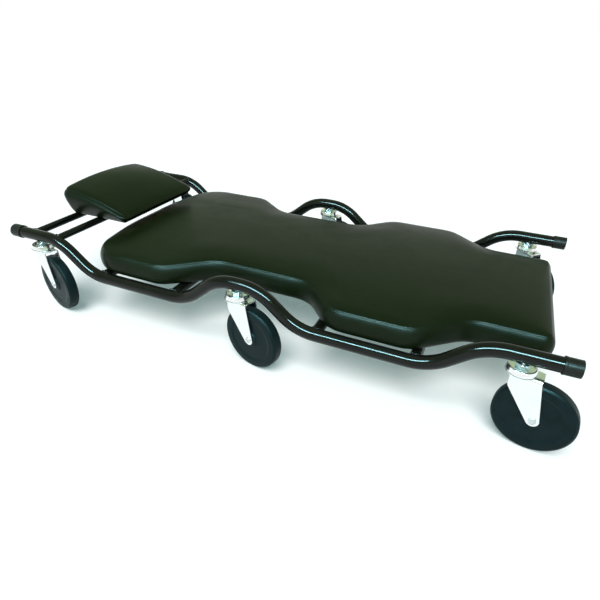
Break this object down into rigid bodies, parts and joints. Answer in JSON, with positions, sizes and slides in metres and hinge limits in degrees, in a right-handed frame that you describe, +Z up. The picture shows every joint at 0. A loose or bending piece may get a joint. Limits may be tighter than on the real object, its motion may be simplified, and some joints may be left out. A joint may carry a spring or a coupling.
{
  "type": "mechanic creeper",
  "caption": "Low padded mechanic's creeper: body-shaped black vinyl pad and wedge headrest on bent black tube rails with swivel casters.",
  "frame": {"origin": "on the floor under the middle of the frame, midway between the middle casters", "axes": "+X towards the foot end, +Y towards the left side of someone lying on it, +Z up"},
  "size_m": [1.1893, 0.5583, 0.2449],
  "materials": {
    "black_gloss_tube": "gloss black enamel on steel tube",
    "black_cap": "satin black slip-on vinyl cap",
    "black_vinyl": "fine-grained black vinyl over foam",
    "plywood": "unfinished plywood",
    "bright_zinc": "bright zinc plating on pressed steel",
    "plated_steel": "zinc-plated steel",
    "dark_steel": "oiled steel tube",
    "black_rubber": "satin black hard rubber"
  },
  "bodies": {
    "frame": {"right_rail": "black_gloss_tube", "left_rail": "black_gloss_tube", "shoulder_head_tube": "black_gloss_tube", "shoulder_waist_tube": "black_gloss_tube", "hip_waist_tube": "black_gloss_tube", "hip_foot_tube": "black_gloss_tube", "headrest_head_bar": "black_gloss_tube", "headrest_body_bar": "black_gloss_tube", "head_right_cap": "black_cap", "head_left_cap": "black_cap", "foot_right_cap": "black_cap", "foot_left_cap": "black_cap", "main_cushion": "black_vinyl", "headrest_cushion": "black_vinyl", "main_board": "plywood", "headrest_board": "plywood", "shoulder_right_bolt": "plated_steel", "shoulder_left_bolt": "plated_steel", "hip_right_bolt": "plated_steel", "hip_left_bolt": "plated_steel", "headrest_head_right_bolt": "plated_steel", "headrest_head_left_bolt": "plated_steel", "headrest_body_right_bolt": "plated_steel", "headrest_body_left_bolt": "plated_steel", "head_right_stem": "plated_steel", "head_right_race_cap": "bright_zinc", "mid_right_stem": "plated_steel", "mid_right_race_cap": "bright_zinc", "foot_right_stem": "plated_steel", "foot_right_race_cap": "bright_zinc", "head_left_stem": "plated_steel", "head_left_race_cap": "bright_zinc", "mid_left_stem": "plated_steel", "mid_left_race_cap": "bright_zinc", "foot_left_stem": "plated_steel", "foot_left_race_cap": "bright_zinc"},
    "head_right_caster": {"head_right_fork": "bright_zinc", "head_right_axle": "plated_steel", "head_right_bushing": "dark_steel"},
    "head_right_roller": {"head_right_wheel": "black_rubber"},
    "mid_right_caster": {"mid_right_fork": "bright_zinc", "mid_right_axle": "plated_steel", "mid_right_bushing": "dark_steel"},
    "mid_right_roller": {"mid_right_wheel": "black_rubber"},
    "foot_right_caster": {"foot_right_fork": "bright_zinc", "foot_right_axle": "plated_steel", "foot_right_bushing": "dark_steel"},
    "foot_right_roller": {"foot_right_wheel": "black_rubber"},
    "head_left_caster": {"head_left_fork": "bright_zinc", "head_left_axle": "plated_steel", "head_left_bushing": "dark_steel"},
    "head_left_roller": {"head_left_wheel": "black_rubber"},
    "mid_left_caster": {"mid_left_fork": "bright_zinc", "mid_left_axle": "plated_steel", "mid_left_bushing": "dark_steel"},
    "mid_left_roller": {"mid_left_wheel": "black_rubber"},
    "foot_left_caster": {"foot_left_fork": "bright_zinc", "foot_left_axle": "plated_steel", "foot_left_bushing": "dark_steel"},
    "foot_left_roller": {"foot_left_wheel": "black_rubber"}
  },
  "joints": [
    {"name": "head_right_swivel", "type": "hinge", "parent": "frame", "child": "head_right_caster", "pos_m": [-0.505, -0.2485, 0.1413], "axis": [0, 0, 1], "continuous": true},
    {"name": "head_right_roll", "type": "hinge", "parent": "head_right_caster", "child": "head_right_roller", "pos_m": [-0.46847, -0.25897, 0.0645], "axis": [0.2756, 0.9613, 0], "continuous": true},
    {"name": "mid_right_swivel", "type": "hinge", "parent": "frame", "child": "mid_right_caster", "pos_m": [0, -0.2485, 0.1413], "axis": [0, 0, 1], "continuous": true},
    {"name": "mid_right_roll", "type": "hinge", "parent": "mid_right_caster", "child": "mid_right_roller", "pos_m": [0.03694, -0.25744, 0.0645], "axis": [0.2351, 0.972, 0], "continuous": true},
    {"name": "foot_right_swivel", "type": "hinge", "parent": "frame", "child": "foot_right_caster", "pos_m": [0.505, -0.2485, 0.1413], "axis": [0, 0, 1], "continuous": true},
    {"name": "foot_right_roll", "type": "hinge", "parent": "foot_right_caster", "child": "foot_right_roller", "pos_m": [0.54258, -0.25412, 0.0645], "axis": [0.1478, 0.989, 0], "continuous": true},
    {"name": "head_left_swivel", "type": "hinge", "parent": "frame", "child": "head_left_caster", "pos_m": [-0.505, 0.2485, 0.1413], "axis": [0, 0, 1], "continuous": true},
    {"name": "head_left_roll", "type": "hinge", "parent": "head_left_caster", "child": "head_left_roller", "pos_m": [-0.46847, 0.23803, 0.0645], "axis": [0.2756, 0.9613, 0], "continuous": true},
    {"name": "mid_left_swivel", "type": "hinge", "parent": "frame", "child": "mid_left_caster", "pos_m": [0, 0.2485, 0.1413], "axis": [0, 0, 1], "continuous": true},
    {"name": "mid_left_roll", "type": "hinge", "parent": "mid_left_caster", "child": "mid_left_roller", "pos_m": [0.03671, 0.23866, 0.0645], "axis": [0.2588, 0.9659, 0], "continuous": true},
    {"name": "foot_left_swivel", "type": "hinge", "parent": "frame", "child": "foot_left_caster", "pos_m": [0.505, 0.2485, 0.1413], "axis": [0, 0, 1], "continuous": true},
    {"name": "foot_left_roll", "type": "hinge", "parent": "foot_left_caster", "child": "foot_left_roller", "pos_m": [0.53187, 0.22163, 0.0645], "axis": [0.7071, 0.7071, 0], "continuous": true}
  ]
}
